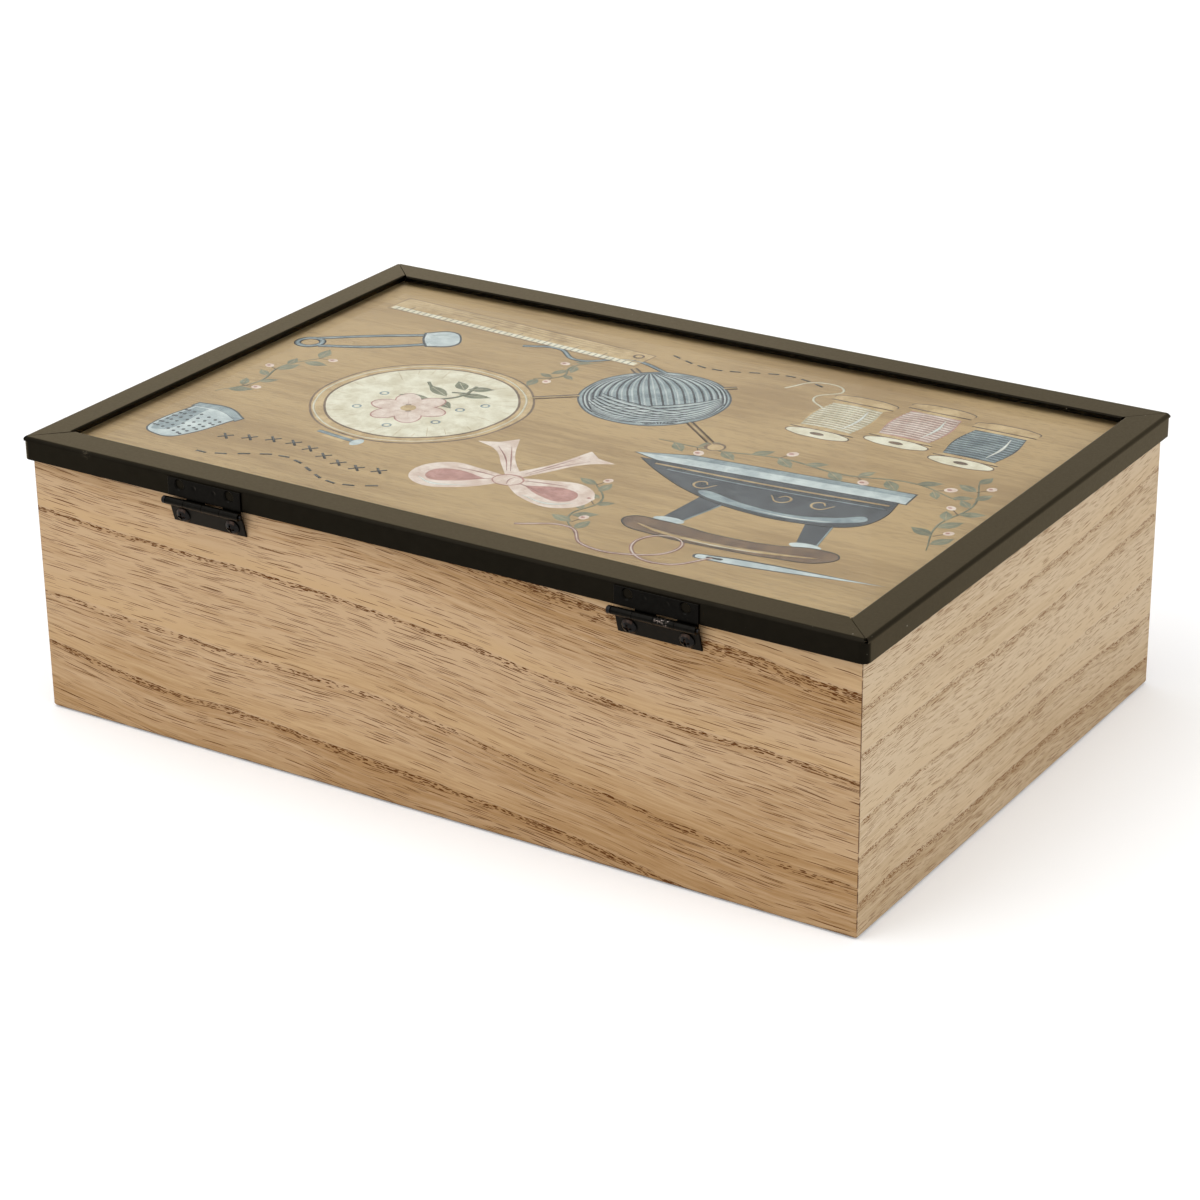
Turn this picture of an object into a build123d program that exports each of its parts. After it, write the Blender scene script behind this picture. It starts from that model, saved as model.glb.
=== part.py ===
from build123d import *
import math
import os

# Sewing box: a mitred wooden carcass with fixed dividers, and a lid made of a
# folded metal frame that holds a glass pane over a printed board.
# Millimetres. The origin is the centre of the base, +Z is up, the front where
# the user stands is -Y, and the hinges are at the back, +Y.

# Carcass
box_length = 255.0            # outside, along the hinge line
box_depth = 171.5             # outside, front to back
carcass_height = 75.2         # floor to the top edge of the walls
wall = 7.0                    # thickness of the four walls
corner_round = 0.4            # sanded vertical corners
base_round = 1.0              # sanded bottom edges
rim_break = 0.3               # broken edges of the rim
bottom_thickness = 3.0
rabbet_depth = 3.5            # how far the bottom reaches into each wall
joint_gap = 0.1               # loose fit of a board in its rabbet or groove

# Dividers
divider = 4.0                 # thickness
divider_height = 58.0         # above the bottom board
groove_depth = 2.0            # into the walls
shallow_groove = 1.0          # into the long divider
front_tray_depth = 70.0       # clear depth of the long front compartment
back_bays = 3                 # compartments behind the long divider

# Lid frame, one strip of sheet folded to an angle and mitred at the corners
frame_sheet = 0.8
lid_overhang = 1.9            # from the wood out to the face of the skirt
flange_back = 10.4            # width of each flange, from the outer face to the window
flange_front = 10.2
flange_left = 9.5
flange_right = 9.1
skirt_height = 6.4            # over the whole side of the frame
skirt_corner = 2.2            # outer radius of the skirt, seen from above
frame_bend = 1.1              # outer radius of the fold
corner_notch = 0.9            # width of the notch between two folds at a corner
lip_depth = 1.7               # from the top of the lid down to the end of the window's lip
lip_bend = 0.5                # outer radius of the lip's fold
seam_right_back = 0.6         # how far each mitre seam stands open at the window
seam_right_front = 0.35
seam_left_back = 0.2
seam_left_front = 0.2
seam_at_fold = 0.12           # what is left open of a seam where it meets the notch

# What the lid frame holds
glass_thickness = 1.8
board_thickness = 1.3
print_gap = 0.1               # between the glass and the printed face
pane_gap = 1.0                # from the edges of the glass to the skirt
pane_corner = 3.0             # corner radius of the glass and the board
tab_sheet = 0.6
tab_bend = 0.5                # outer radius of a tab's fold
tab_width = 9.0
tab_reach = 9.0               # under the board, from the skirt inwards
tab_spacing = 85.0            # between the tabs on a long side
rest_gap = 0.3                # from the tabs of the closed lid down to the rim

# Hinges
pin_diameter = 1.1
running_clearance = 0.04      # between the pin and the knuckles
leaf_sheet = 0.5
leaf_length = 24.0
lid_leaf_reach = 6.5          # from the pin's axis to the free edge of a leaf
box_leaf_reach = 6.9
leaf_edge = 0.15              # rounded outer edges
knuckle_count = 4
knuckle_gap = 0.15            # side play between neighbouring knuckles
knuckle_slit = 0.3            # open end of the rolled sheet
slot_gap = 0.5                # round a knuckle, in the leaf that it turns in
pin_below_rim = 1.8           # from the rim down to the pin's axis
pin_stub = 1.75               # how far the headed end sticks out
pin_tail = 0.6                # how far the plain end sticks out
pin_head_diameter = 2.1
pin_head_length = 1.5
pin_head_rim = 0.9            # straight part of the pin's head
leaf_seat_gap = 0.05          # from the lower edge of a box leaf to the wood
right_hinge_x = 66.6          # centre of each hinge along the back
left_hinge_x = -72.0
screw_hole_spacing = 16.4
screw_drop = 4.4              # from the pin's axis down the leaf to the screws
blank_rise = 4.75             # from the pin's axis up to the unused holes
blank_hole_diameter = 2.6
countersink_diameter = 3.3
weld_spacing = 6.5            # between the weld marks on the lid leaf
weld_diameter = 1.5
weld_depth = 0.2

# Screws
screw_diameter = 2.2
screw_head_diameter = 4.3
screw_head_height = 1.3
head_rim = 0.25               # straight edge under the dome of a screw, rivet or stud
screw_tip = 1.6               # length of the point
screw_cover = 0.9             # wood left behind the point
drive_width = 0.6             # arms of the cross recess
drive_span = 2.4
drive_depth = 0.7
pilot_clearance = 0.02        # between a screw and its hole

# Front latch
hook_sheet = 0.8
hook_gap = 0.1                # between the skirt and the hook
hook_length = 12.5            # from the rivet to the stud
hook_eye = 5.0                # outer diameter at the rivet
hook_arm = 3.4                # width of the arm
hook_jaw = 6.6                # outer diameter round the stud
hook_play = 0.3               # between the mouth and the stud's neck
hook_tail = 3.4               # finger tab beyond the jaw
hook_tail_lift = 2.4          # how far the finger tab stands out
hook_tail_bend = 1.6          # radius of its bend
hook_swing = 75.0             # degrees from the stored to the hooked position
rivet_diameter = 2.0
rivet_head_diameter = 4.2
rivet_head_height = 1.0
stud_neck = 2.2
stud_collar_diameter = 5.4
stud_collar_gap = 0.4         # from the collar to the back of the hook
stud_head_diameter = 4.8
stud_head_height = 1.2
stud_head_gap = 0.3           # from the front of the hook to the head
stud_shank = 2.0

# Places that follow from the sizes above
half_length = box_length / 2
half_depth = box_depth / 2
inner_half_length = half_length - wall
inner_half_depth = half_depth - wall
groove = divider + 2 * joint_gap
divider_top = bottom_thickness + divider_height
long_divider_y = -inner_half_depth + front_tray_depth + divider / 2
lid_half_length = half_length + lid_overhang
lid_half_depth = half_depth + lid_overhang

tab_floor = carcass_height + rest_gap
board_floor = tab_floor + tab_sheet
board_top = board_floor + board_thickness
glass_floor = board_top + print_gap
glass_top = glass_floor + glass_thickness
lid_top = glass_top + lip_depth
flange_floor = lid_top - frame_sheet
bend_floor = lid_top - frame_bend
skirt_floor = lid_top - skirt_height

# The barrel lies against the skirt's plane, and the box leaf leans in from it to the wood.
pin_radius = pin_diameter / 2
knuckle_bore = pin_radius + running_clearance
barrel_radius = knuckle_bore + leaf_sheet
pin_y = lid_half_depth + barrel_radius
pin_z = carcass_height - pin_below_rim
knuckle_pitch = leaf_length / knuckle_count
leaf_lean = (math.asin((pin_y - half_depth - leaf_seat_gap) / math.hypot(barrel_radius, box_leaf_reach))
             - math.atan(barrel_radius / box_leaf_reach))

hook_back_y = -lid_half_depth - hook_gap
hook_front_y = hook_back_y - hook_sheet
rivet_z = (skirt_floor + bend_floor) / 2
stud_z = rivet_z - hook_length
collar_y = hook_back_y + stud_collar_gap
stud_head_y = hook_front_y - stud_head_gap


def save(shape, node):
    """Write one named piece."""
    shape.label = node
    export_step(shape, f"parts/{node}.step")


def box_between(x0, x1, y0, y1, z0, z1):
    """A plain block between two opposite corners."""
    block = Box(x1 - x0, y1 - y0, z1 - z0)
    return Pos((x0 + x1) / 2, (y0 + y1) / 2, (z0 + z1) / 2) * block


def round_slab(half_x, half_y, z0, z1, radius):
    """A slab centred on the origin with rounded upright corners."""
    outline = RectangleRounded(2 * half_x, 2 * half_y, radius)
    return Pos(0, 0, z0) * extrude(outline, z1 - z0)


def rod(radius, start, end):
    """A round bar from one point to another."""
    axis = Vector(end) - Vector(start)
    plane = Plane(origin=start, z_dir=axis.normalized())
    return extrude(plane * Circle(radius), axis.length)


def turned(profile_points):
    """A solid of revolution about Z: points are (radius, height)."""
    outline = make_face(Polyline(*[(r, 0, h) for r, h in profile_points], close=True))
    return revolve(outline, Axis.Z)


def domed_head(radius, height, rim=head_rim):
    """A round head standing on the XY plane: a straight rim under a spherical dome."""
    rise = height - rim
    ball = (radius ** 2 + rise ** 2) / (2 * rise)
    blank = Pos(0, 0, height / 2) * Cylinder(radius, height)
    return blank & Pos(0, 0, height - ball) * Sphere(ball)


def pointed_shank(radius, length):
    """A plain shank hanging from the XY plane, with a cone for its point."""
    return turned([(0, 0), (radius, 0), (radius, screw_tip - length), (0, -length)])


def outward(x, y, z, way=1):
    """A seat on an upright face that looks to the back, or to the front where way is -1."""
    return Plane(origin=(x, y, z), z_dir=(0, way, 0)).location


# Carcass

def carcass_blank():
    """The outside of the wooden box with its edges sanded."""
    blank = Pos(0, 0, carcass_height / 2) * Box(box_length, box_depth, carcass_height)
    blank = fillet(blank.edges().filter_by(Axis.Z), corner_round)
    blank = fillet(blank.faces().sort_by(Axis.Z)[0].edges(), base_round)
    return chamfer(blank.faces().sort_by(Axis.Z)[-1].edges(), rim_break)


def mitred_wall(blank, side):
    """One wall, cut at 45 degrees at both ends; side is front, back, left or right."""
    along = half_length if side in ("front", "back") else half_depth
    out = half_depth if side in ("front", "back") else half_length
    turn = {"back": 0, "left": 90, "front": 180, "right": 270}[side]
    outline = make_face(Polyline((-along, out), (along, out), (along - wall, out - wall),
                                 (wall - along, out - wall), close=True))
    wedge = Rot(0, 0, turn) * extrude(outline, carcass_height)
    rabbet_x = inner_half_length + rabbet_depth
    rabbet_y = inner_half_depth + rabbet_depth
    rabbet = box_between(-rabbet_x, rabbet_x, -rabbet_y, rabbet_y, 0, bottom_thickness)
    return (blank & wedge) - rabbet


def groove_cut(x0, x1, y0, y1):
    """A stopped groove from the bottom board up to the top of the dividers."""
    return box_between(x0, x1, y0, y1, bottom_thickness, divider_top + joint_gap)


def divider_centres():
    """X of each cross divider behind the long one."""
    bay = (2 * inner_half_length - (back_bays - 1) * divider) / back_bays
    return [-inner_half_length + (i + 1) * bay + (i + 0.5) * divider for i in range(back_bays - 1)]


def walls():
    blank = carcass_blank()
    back = mitred_wall(blank, "back")
    for x in divider_centres():
        back -= groove_cut(x - groove / 2, x + groove / 2,
                           inner_half_depth, inner_half_depth + groove_depth)
    for place in leaning_places().values():
        for seat in screw_seats():
            back -= place * seat * pilot_hole()
    front = mitred_wall(blank, "front")
    front -= rod(stud_shank / 2 + pilot_clearance, (0, -half_depth, stud_z),
                 (0, -half_depth + wall - screw_cover, stud_z))
    left = mitred_wall(blank, "left")
    right = mitred_wall(blank, "right")
    y0 = long_divider_y - groove / 2
    y1 = long_divider_y + groove / 2
    left -= groove_cut(-inner_half_length - groove_depth, -inner_half_length, y0, y1)
    right -= groove_cut(inner_half_length, inner_half_length + groove_depth, y0, y1)
    save(back, "back_wall")
    save(front, "front_wall")
    save(left, "left_wall")
    save(right, "right_wall")


def bottom_board():
    half_x = inner_half_length + rabbet_depth - joint_gap
    half_y = inner_half_depth + rabbet_depth - joint_gap
    save(box_between(-half_x, half_x, -half_y, half_y, 0, bottom_thickness), "bottom_board")


def dividers():
    reach = inner_half_length + groove_depth - joint_gap
    y0 = long_divider_y - divider / 2
    y1 = long_divider_y + divider / 2
    long_divider = box_between(-reach, reach, y0, y1, bottom_thickness, divider_top)
    for x in divider_centres():
        long_divider -= groove_cut(x - groove / 2, x + groove / 2, y1 - shallow_groove, y1)
    save(long_divider, "long_divider")
    front_end = y1 - shallow_groove + joint_gap
    back_end = inner_half_depth + groove_depth - joint_gap
    for number, x in enumerate(divider_centres(), 1):
        board = box_between(x - divider / 2, x + divider / 2, front_end, back_end,
                            bottom_thickness, divider_top)
        save(board, f"cross_divider_{number}")


# Lid

def window():
    """The clear opening between the flanges: lowest and highest X, lowest and highest Y."""
    return (flange_left - lid_half_length, lid_half_length - flange_right,
            flange_front - lid_half_depth, lid_half_depth - flange_back)


def folded_blank(inset, top, bend, corner):
    """A closed slab whose folds run out sharp at the corners over a rounded skirt."""
    half_x = lid_half_length - inset
    half_y = lid_half_depth - inset
    folds = box_between(-half_x, half_x, -half_y, half_y, skirt_floor, top)
    folds = fillet(folds.faces().sort_by(Axis.Z)[-1].edges(), bend)
    folds &= box_between(-half_x, half_x, -half_y, half_y, bend_floor, top)
    return round_slab(half_x, half_y, skirt_floor, bend_floor, corner) + folds


def lid_frame():
    """Folded sheet: flanges with a lip round the window, and a skirt that runs round the corners."""
    body = folded_blank(0, lid_top, frame_bend, skirt_corner)
    body -= folded_blank(frame_sheet, flange_floor, frame_bend - frame_sheet, skirt_corner - frame_sheet)
    x0, x1, y0, y1 = window()
    body += box_between(x0 - frame_sheet, x1 + frame_sheet, y0 - frame_sheet, y1 + frame_sheet,
                        glass_top, flange_floor)
    body -= box_between(x0, x1, y0, y1, glass_top, lid_top)
    body = fillet(body.faces().sort_by(Axis.Z)[-1].inner_wires()[0].edges(), lip_bend)
    body -= mitre_cuts()
    body -= rod(rivet_diameter / 2, (0, -lid_half_depth, rivet_z),
                (0, -lid_half_depth + frame_sheet, rivet_z))
    save(body, "lid_frame")


def mitre_cuts():
    """What each corner loses: a notch through the fold, a seam, and a step at the window."""
    fold = frame_bend * math.sqrt(2)
    cuts = []
    for sx, short_flange, sy, long_flange, opening in (
            (1, flange_right, 1, flange_back, seam_right_back),
            (1, flange_right, -1, flange_front, seam_right_front),
            (-1, flange_left, 1, flange_back, seam_left_back),
            (-1, flange_left, -1, flange_front, seam_left_front)):
        # X runs from the outer corner along the mitre towards the window
        mitre = (Pos(sx * lid_half_length, sy * lid_half_depth, 0)
                 * Rot(0, 0, math.degrees(math.atan2(-sy, -sx))))
        cuts.append(mitre * box_between(-frame_bend, fold, -corner_notch / 2, corner_notch / 2,
                                        bend_floor, lid_top))
        narrow, wide = sorted((short_flange, long_flange))
        end = wide * math.sqrt(2) + opening
        wedge = make_face(Polyline((fold, seam_at_fold / 2), (end, opening / 2),
                                   (end, -opening / 2), (fold, -seam_at_fold / 2), close=True))
        cuts.append(mitre * Pos(0, 0, glass_top) * extrude(wedge, lip_depth))
        if wide > narrow:
            # the wider flange ends on the mitre, past the edge of the narrower one
            insets = ((narrow, narrow), (short_flange, long_flange), (wide, wide))
            step = make_face(Polyline(*[(sx * (lid_half_length - x), sy * (lid_half_depth - y))
                                        for x, y in insets], close=True))
            cuts.append(Pos(0, 0, glass_top) * extrude(step, lip_depth))
    return cuts


def glass_and_board():
    half_x = lid_half_length - frame_sheet - pane_gap
    half_y = lid_half_depth - frame_sheet - pane_gap
    save(round_slab(half_x, half_y, glass_floor, glass_top, pane_corner), "glass_pane")
    save(round_slab(half_x, half_y, board_floor, board_top, pane_corner), "printed_board")


def retaining_tab():
    """One bent tab, standing on the skirt's inner face at the origin and reaching along +X."""
    leg = box_between(0, tab_sheet, -tab_width / 2, tab_width / 2, tab_floor, bend_floor - joint_gap)
    foot = box_between(0, tab_reach, -tab_width / 2, tab_width / 2, tab_floor, board_floor)
    tab = leg + foot
    outer = tab.edges().filter_by(Axis.Y).group_by(Axis.Z)[0].sort_by(Axis.X)[0]
    return fillet(outer, tab_bend)


def board_tabs():
    """Tabs on the inside of the skirt, bent under the board."""
    side_x = lid_half_length - frame_sheet
    side_y = lid_half_depth - frame_sheet
    places = [Pos(-side_x, 0, 0), Pos(side_x, 0, 0) * Rot(0, 0, 180)]
    for x in (-tab_spacing, 0, tab_spacing):
        places.append(Pos(x, -side_y, 0) * Rot(0, 0, 90))
        places.append(Pos(x, side_y, 0) * Rot(0, 0, -90))
    tab = retaining_tab()
    save(Compound([place * tab for place in places]), "board_tabs")


# Hinges: each is made with its pin along X at the origin, +Y away from the box, +Z up

def hinge_centres():
    return {"left": left_hinge_x, "right": right_hinge_x}


def leaning_places():
    """Where each box leaf and its screws go: turned about the pin until the leaf meets the wood."""
    return {side: Pos(x, pin_y, pin_z) * Rot(-math.degrees(leaf_lean), 0, 0)
            for side, x in hinge_centres().items()}


def knuckle(number, upward):
    """One rolled knuckle and the strip that joins it to its leaf; number counts from the +X end."""
    centre = leaf_length / 2 - (number + 0.5) * knuckle_pitch
    width = knuckle_pitch - knuckle_gap
    way = 1 if upward else -1
    ring = Circle(barrel_radius) - Circle(knuckle_bore)
    # the rolled end stops short of the strip, on the side of the leaf
    slit = Pos(knuckle_slit / 2 - knuckle_bore, way * barrel_radius / 2)
    ring -= slit * Rectangle(knuckle_slit, barrel_radius)
    strip_reach = barrel_radius + slot_gap
    strip = Pos(-knuckle_bore - leaf_sheet / 2, way * strip_reach / 2)
    shape = ring + strip * Rectangle(leaf_sheet, strip_reach)
    # the sketch's X becomes the part's Y and its Y becomes Z
    upright = Plane(origin=(centre - width / 2, 0, 0), x_dir=(0, 1, 0), z_dir=(1, 0, 0))
    return extrude(upright * shape, width)


def hinge_leaf(upward):
    """A leaf: plate and two knuckles. The lid leaf rises, the box leaf hangs."""
    way = 1 if upward else -1
    reach = lid_leaf_reach if upward else box_leaf_reach
    middle_y = -knuckle_bore - leaf_sheet / 2
    plate = Pos(0, middle_y, way * reach / 2) * Box(leaf_length, leaf_sheet, reach)
    outer_face = plate.faces().sort_by(Axis.Y)[-1]
    free_edges = outer_face.edges().sort_by(lambda edge: way * edge.center().Z)[1:]
    plate = fillet(free_edges, leaf_edge)
    plate -= rod(barrel_radius + slot_gap, (-leaf_length, 0, 0), (leaf_length, 0, 0))
    for number in range(knuckle_count):
        if (number % 2 == 1) == upward:
            plate += knuckle(number, upward)
    return plate


def lid_leaf():
    """The upper leaf, with its unused countersunk holes and the marks of two spot welds."""
    leaf = hinge_leaf(True)
    sink = (countersink_diameter - blank_hole_diameter) / 2
    hole = turned([(0, 0), (countersink_diameter / 2, 0), (blank_hole_diameter / 2, -sink),
                   (blank_hole_diameter / 2, -leaf_sheet), (0, -leaf_sheet)])
    weld = turned([(0, 0), (weld_diameter / 2, 0), (0, -weld_depth)])
    for end in (-1, 1):
        leaf -= outward(end * screw_hole_spacing / 2, -knuckle_bore, blank_rise) * hole
        leaf -= outward(end * weld_spacing / 2, -knuckle_bore, blank_rise) * weld
    return leaf


def screw_seats():
    """Where the two screw heads stand on a box leaf, before the leaf leans in."""
    return [outward(end * screw_hole_spacing / 2, -knuckle_bore, -screw_drop) for end in (-1, 1)]


def box_leaf():
    """The lower leaf, with a clear hole for each screw."""
    leaf = hinge_leaf(False)
    hole = Pos(0, 0, -leaf_sheet / 2) * Cylinder(screw_diameter / 2 + joint_gap, leaf_sheet)
    for seat in screw_seats():
        leaf -= seat * hole
    return leaf


def hinge_pin():
    """A straight pin with a domed head beyond the +X end of the barrel."""
    reach = pin_tail + leaf_length + pin_stub - pin_head_length
    shaft = Pos(0, 0, reach / 2) * Cylinder(pin_radius, reach)
    head = Pos(0, 0, reach) * domed_head(pin_head_diameter / 2, pin_head_length, pin_head_rim)
    return Plane(origin=(-leaf_length / 2 - pin_tail, 0, 0), z_dir=(1, 0, 0)) * (shaft + head)


def screw_reach():
    """From the face of a leaning box leaf to the bottom of the screw's hole in the wall."""
    face_out = -knuckle_bore * math.cos(leaf_lean) - screw_drop * math.sin(leaf_lean)
    bottom_out = half_depth - wall + screw_cover - pin_y
    return (face_out - bottom_out) / math.cos(leaf_lean)


def pilot_hole():
    """What a screw's hole takes out of the wall, hanging from its seat."""
    return Pos(0, 0, -screw_reach() / 2) * Cylinder(screw_diameter / 2 + pilot_clearance, screw_reach())


def wood_screw():
    """A domed screw with a cross recess; its head stands on the XY plane."""
    screw = domed_head(screw_head_diameter / 2, screw_head_height)
    screw += pointed_shank(screw_diameter / 2, screw_reach() - joint_gap)
    middle = Pos(0, 0, screw_head_height - drive_depth / 2)
    screw -= middle * Box(drive_width, drive_span, drive_depth)
    return screw - middle * Box(drive_span, drive_width, drive_depth)


def hinges():
    for side, x in hinge_centres().items():
        leaning = leaning_places()[side]
        upright = Pos(x, pin_y, pin_z)
        save(leaning * box_leaf(), f"{side}_hinge_box_leaf")
        save(upright * lid_leaf(), f"{side}_hinge_lid_leaf")
        save(upright * hinge_pin(), f"{side}_hinge_pin")
        pair = [leaning * seat * wood_screw() for seat in screw_seats()]
        save(Compound(pair), f"{side}_hinge_screws")


# Latch: a hook riveted to the front of the skirt swings down on to a stud

def hook_blank():
    """The hook flat on the XY plane, rivet at the origin, arm along -Y, mouth open to -X."""
    shape = Circle(hook_eye / 2) + Pos(0, -hook_length) * Circle(hook_jaw / 2)
    shape += Pos(0, -hook_length / 2) * Rectangle(hook_arm, hook_length)
    shape -= Circle(rivet_diameter / 2 + running_clearance)
    mouth = stud_neck / 2 + hook_play
    # the way in follows the hook's own swing, on the -X side of the arm only
    way_in = Circle(hook_length + mouth) - Circle(hook_length - mouth)
    way_in &= Pos(-hook_jaw / 2, -hook_length) * Rectangle(hook_jaw, 2 * mouth + hook_jaw)
    return shape - way_in - Pos(0, -hook_length) * Circle(mouth)


def finger_tab():
    """A strip that leaves the jaw flat and bends away from the box."""
    root = hook_length + hook_jaw / 2
    middle = hook_sheet / 2
    path = FilletPolyline((hook_sheet - root, middle), (-root - hook_tail / 3, middle),
                          (-root - hook_tail, middle + hook_tail_lift), radius=hook_tail_bend)
    side = Plane(origin=(-hook_arm / 2, 0, 0), x_dir=(0, 1, 0), z_dir=(1, 0, 0))
    return extrude(side * trace(path, hook_sheet), hook_arm)


def latch_hook():
    """The hook swung up beside its rivet, where it is left when the box isn't locked."""
    hook = extrude(hook_blank(), hook_sheet) + finger_tab()
    # the blank's X stays X, its Y becomes Z, and the sheet grows towards the front
    front = Plane(origin=(0, hook_back_y, rivet_z), x_dir=(1, 0, 0), z_dir=(0, -1, 0))
    return (front * hook).rotate(Axis((0, 0, rivet_z), (0, 1, 0)), -hook_swing)


def latch_rivet():
    """Shank through the hook and the skirt, flush inside, with a domed head in front."""
    under_head = hook_front_y - hook_gap
    length = frame_sheet - lid_half_depth - under_head
    rivet = domed_head(rivet_head_diameter / 2, rivet_head_height)
    rivet += Pos(0, 0, -length / 2) * Cylinder(rivet_diameter / 2, length)
    return outward(0, under_head, rivet_z, -1) * rivet


def latch_stud():
    """Collar against the wood, neck for the hook's mouth, round head, and a screwed-in shank."""
    neck = collar_y - stud_head_y
    collar = -half_depth - collar_y
    stud = domed_head(stud_head_diameter / 2, stud_head_height)
    stud += Pos(0, 0, -neck / 2) * Cylinder(stud_neck / 2, neck)
    stud += Pos(0, 0, -neck - collar / 2) * Cylinder(stud_collar_diameter / 2, collar)
    length = wall - screw_cover - joint_gap
    stud += Pos(0, 0, -neck - collar) * pointed_shank(stud_shank / 2, length)
    return outward(0, stud_head_y, stud_z, -1) * stud


def main():
    os.makedirs("parts", exist_ok=True)
    walls()
    bottom_board()
    dividers()
    lid_frame()
    glass_and_board()
    board_tabs()
    hinges()
    save(latch_hook(), "latch_hook")
    save(latch_rivet(), "latch_rivet")
    save(latch_stud(), "latch_stud")


main()
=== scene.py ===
import math
import random

import bpy
from mathutils import Matrix, Vector


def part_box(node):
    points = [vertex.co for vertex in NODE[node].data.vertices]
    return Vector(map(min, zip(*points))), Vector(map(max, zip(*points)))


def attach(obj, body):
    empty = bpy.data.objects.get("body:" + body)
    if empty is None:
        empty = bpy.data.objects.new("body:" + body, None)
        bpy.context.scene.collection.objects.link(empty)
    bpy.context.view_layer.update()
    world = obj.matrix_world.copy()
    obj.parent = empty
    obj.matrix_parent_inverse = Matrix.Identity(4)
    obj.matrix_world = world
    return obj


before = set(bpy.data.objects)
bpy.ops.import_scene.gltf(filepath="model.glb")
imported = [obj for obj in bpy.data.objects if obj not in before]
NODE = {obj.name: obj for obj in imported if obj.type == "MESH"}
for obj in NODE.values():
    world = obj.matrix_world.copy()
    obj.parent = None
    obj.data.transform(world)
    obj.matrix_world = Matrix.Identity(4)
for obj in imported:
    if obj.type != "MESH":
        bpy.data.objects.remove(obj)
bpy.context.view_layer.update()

# A wooden sewing box seen from its hinge side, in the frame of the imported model: +Z up, the
# hinges on +Y and the latch on -Y. Places are in metres, and patterns and motifs in millimetres.
MM = 0.001

# Measures of the real box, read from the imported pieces
LID_LOW, LID_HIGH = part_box("lid_frame")
BOARD_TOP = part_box("printed_board")[1].z
HALF_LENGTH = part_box("right_wall")[1].x / MM
HALF_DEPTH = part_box("back_wall")[1].y / MM
PIN_LINE = sum((corner.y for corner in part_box("left_hinge_pin")), 0.0) / 2 / MM
PIN_HEIGHT = 73.4              # the hinge line above the base
WORN_KNUCKLE = (-76.8, -72.2)  # part of the left hinge's third knuckle, along X
UNWORN = (0.0, 0.0)
LEAF_LEAN = math.radians(15.9)  # how far the hinges' box leaves lean in
SCREW_HEAD = 4.3 * MM

# The photograph's viewpoint
CAMERA_PLACE = (-0.45916, 0.71744, 0.40441)
CAMERA_TURN = math.radians(212.637)
CAMERA_CLIMB = math.radians(23.793)
CAMERA_LEAN = math.radians(-0.656)
CAMERA_LENS = 100.52
CAMERA_FILM = 36

# Colours of the finishes
PALE_LONG = (0.575, 0.392, 0.230)
OCHRE_LONG = (0.580, 0.385, 0.203)
BROWN_LONG = (0.400, 0.232, 0.100)
PORE_LONG = (0.110, 0.034, 0.004)
PALE_SHORT = (0.640, 0.497, 0.333)
OCHRE_SHORT = (0.635, 0.480, 0.305)
BROWN_SHORT = (0.470, 0.330, 0.188)
PORE_SHORT = (0.180, 0.066, 0.009)
# dark brown of the corner joints, also used for the painted shadow along the base edge
BURNT_JOINT_AND_SHADOW = (0.085, 0.034, 0.014)
DIVIDER_PALE = (0.60, 0.46, 0.30)
DIVIDER_BROWN = (0.45, 0.31, 0.18)
HARDBOARD_PALE = (0.44, 0.31, 0.19)
HARDBOARD_BROWN = (0.30, 0.19, 0.105)
FRAME_DARK = (0.0060, 0.0050, 0.0034)
FRAME_PALE = (0.0110, 0.0092, 0.0064)
FRAME_SHEEN = (1.0, 0.90, 0.74)
FRAME_SCUFF = (0.04, 0.036, 0.030)
FRAME_DUST = (0.36, 0.33, 0.27)
FRAME_CRACK = (0.16, 0.13, 0.09)
HINGE_DARK = (0.0034, 0.0031, 0.0026)
HINGE_PALE = (0.0080, 0.0074, 0.0064)
HINGE_SHEEN = (1.0, 0.93, 0.85)
HINGE_DUST = (0.35, 0.32, 0.28)
BARE_STEEL = (0.21, 0.17, 0.15)
SCREW_DARK = (0.008, 0.0077, 0.0075)
SCREW_PALE = (0.022, 0.020, 0.019)
SCREW_BLOOM = (0.060, 0.030, 0.018)
PIN_DARK = (0.007, 0.007, 0.0075)
PIN_PALE = (0.022, 0.021, 0.021)
GLASS_TINT = (0.975, 0.99, 0.98)
GLASS_SHADOW = (0.94, 0.96, 0.95, 1)
PRINT_PALE = (0.425, 0.281, 0.135)
PRINT_DARK = (0.295, 0.183, 0.080)
PRINT_PORE = (0.17, 0.105, 0.05)
BOARD_PALE = (0.33, 0.22, 0.125)
BOARD_BROWN = (0.23, 0.145, 0.08)
FLOOR_GREY = (0.86, 0.86, 0.86)
WHITE = (1, 1, 1)
LAMP_BLUE = (0.78, 0.89, 1.0)


# Small helpers for the materials

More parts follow.
